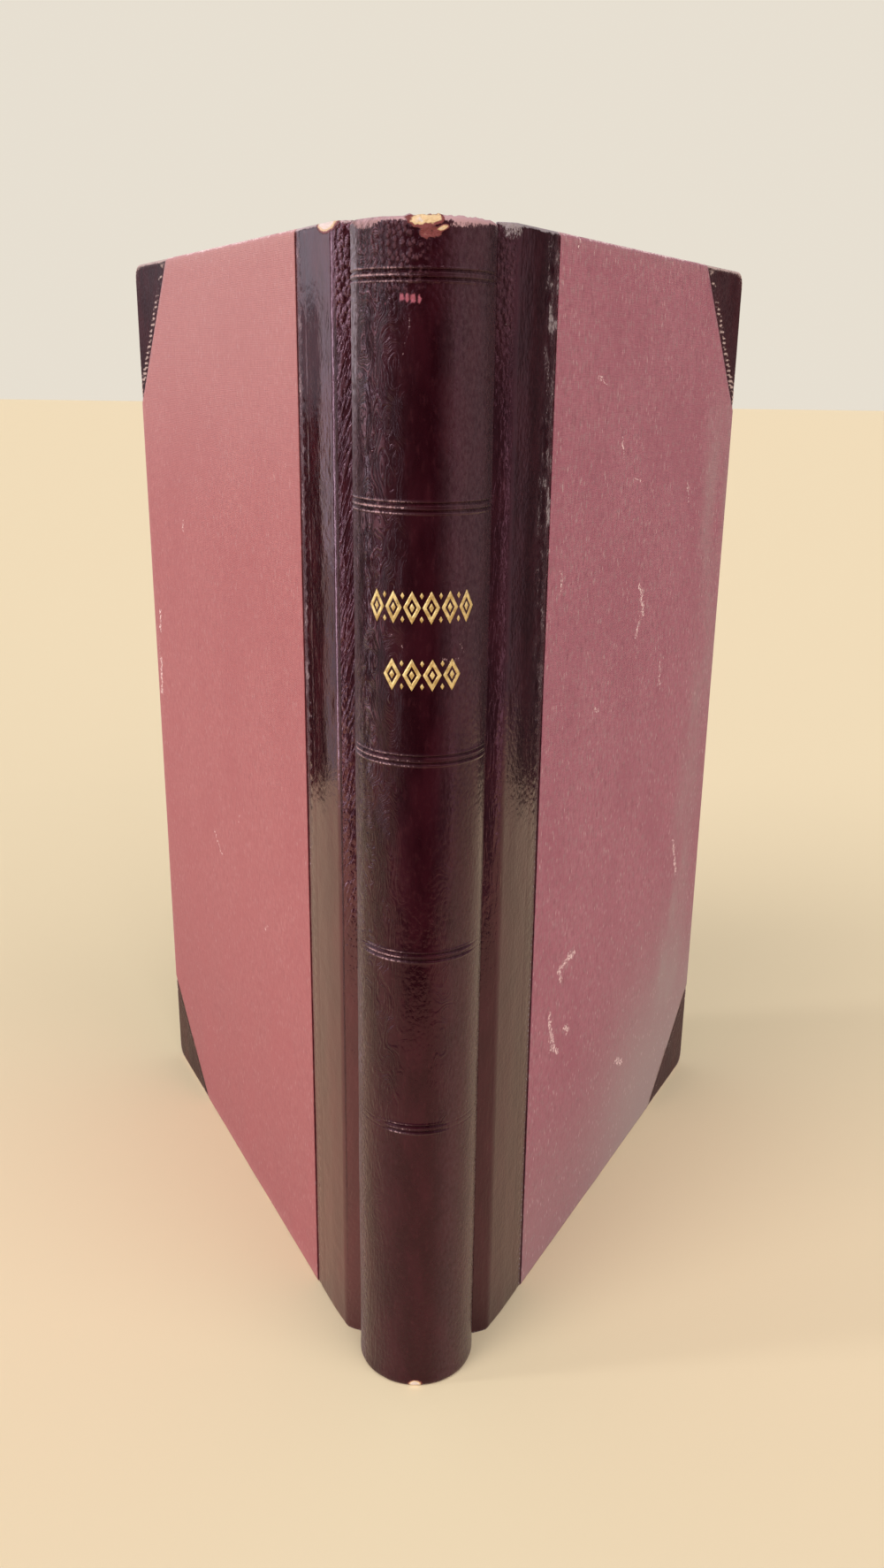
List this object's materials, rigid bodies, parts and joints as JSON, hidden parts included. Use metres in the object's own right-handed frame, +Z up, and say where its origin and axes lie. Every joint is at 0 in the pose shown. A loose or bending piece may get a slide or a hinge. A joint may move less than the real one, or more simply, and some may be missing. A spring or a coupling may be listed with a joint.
{
  "type": "minute book",
  "caption": "Tall half-leather minute book with a round spring-back spine, cloth sides, leather corners and blind-tooled lines, standing on its tail with its covers ajar.",
  "frame": {"origin": "centre of the book's footprint on the surface that it stands on", "axes": "+Z up from the tail to the head, spine towards -Y, fore-edge towards +Y, front cover at +X and back cover at -X"},
  "size_m": [0.23, 0.2194, 0.336],
  "materials": {
    "page_edges": "aged, trimmed edges",
    "flyleaf_paper": "aged, smooth",
    "linen_tape": "plain woven linen",
    "lining_paper": "brown, glued",
    "headband_cord": "dark red cloth over cord",
    "spring_board": "rolled mill board",
    "spine_leather": "dark red-brown, polished and worn",
    "cover_board": "mill board",
    "lever_board": "dense card",
    "front_joint_leather": "dark red-brown, rubbed grey",
    "back_joint_leather": "dark red-brown, polished",
    "front_cloth": "dusty rose book cloth, specked",
    "back_cloth": "dusty rose book cloth",
    "corner_leather": "dark, worn pale at the edges",
    "pastedown_paper": "aged, smooth",
    "inner_joint_cloth": "dark red joint cloth"
  },
  "bodies": {
    "book_block": {"text_block": "page_edges", "front_flyleaf": "flyleaf_paper", "back_flyleaf": "flyleaf_paper", "sewing_tapes": "linen_tape", "spine_linings": "lining_paper", "head_band": "headband_cord", "tail_band": "headband_cord", "spring_back": "spring_board", "spine_leather": "spine_leather"},
    "front_cover": {"front_board": "cover_board", "front_lever": "lever_board", "front_leather_joint": "front_joint_leather", "front_cloth_side": "front_cloth", "front_head_corner": "corner_leather", "front_tail_corner": "corner_leather", "front_pastedown": "pastedown_paper", "front_cloth_joint": "inner_joint_cloth"},
    "back_cover": {"back_board": "cover_board", "back_lever": "lever_board", "back_leather_joint": "back_joint_leather", "back_cloth_side": "back_cloth", "back_head_corner": "corner_leather", "back_tail_corner": "corner_leather", "back_pastedown": "pastedown_paper", "back_cloth_joint": "inner_joint_cloth"}
  },
  "joints": [
    {"name": "front_cover_hinge", "type": "hinge", "parent": "book_block", "child": "front_cover", "pos_m": [0.0179, -0.0866, 0.168], "axis": [0, 0, -1], "range_deg": [-27.7, 100]},
    {"name": "back_cover_hinge", "type": "hinge", "parent": "book_block", "child": "back_cover", "pos_m": [-0.0179, -0.0866, 0.168], "axis": [0, 0, 1], "range_deg": [-27.7, 100]}
  ]
}
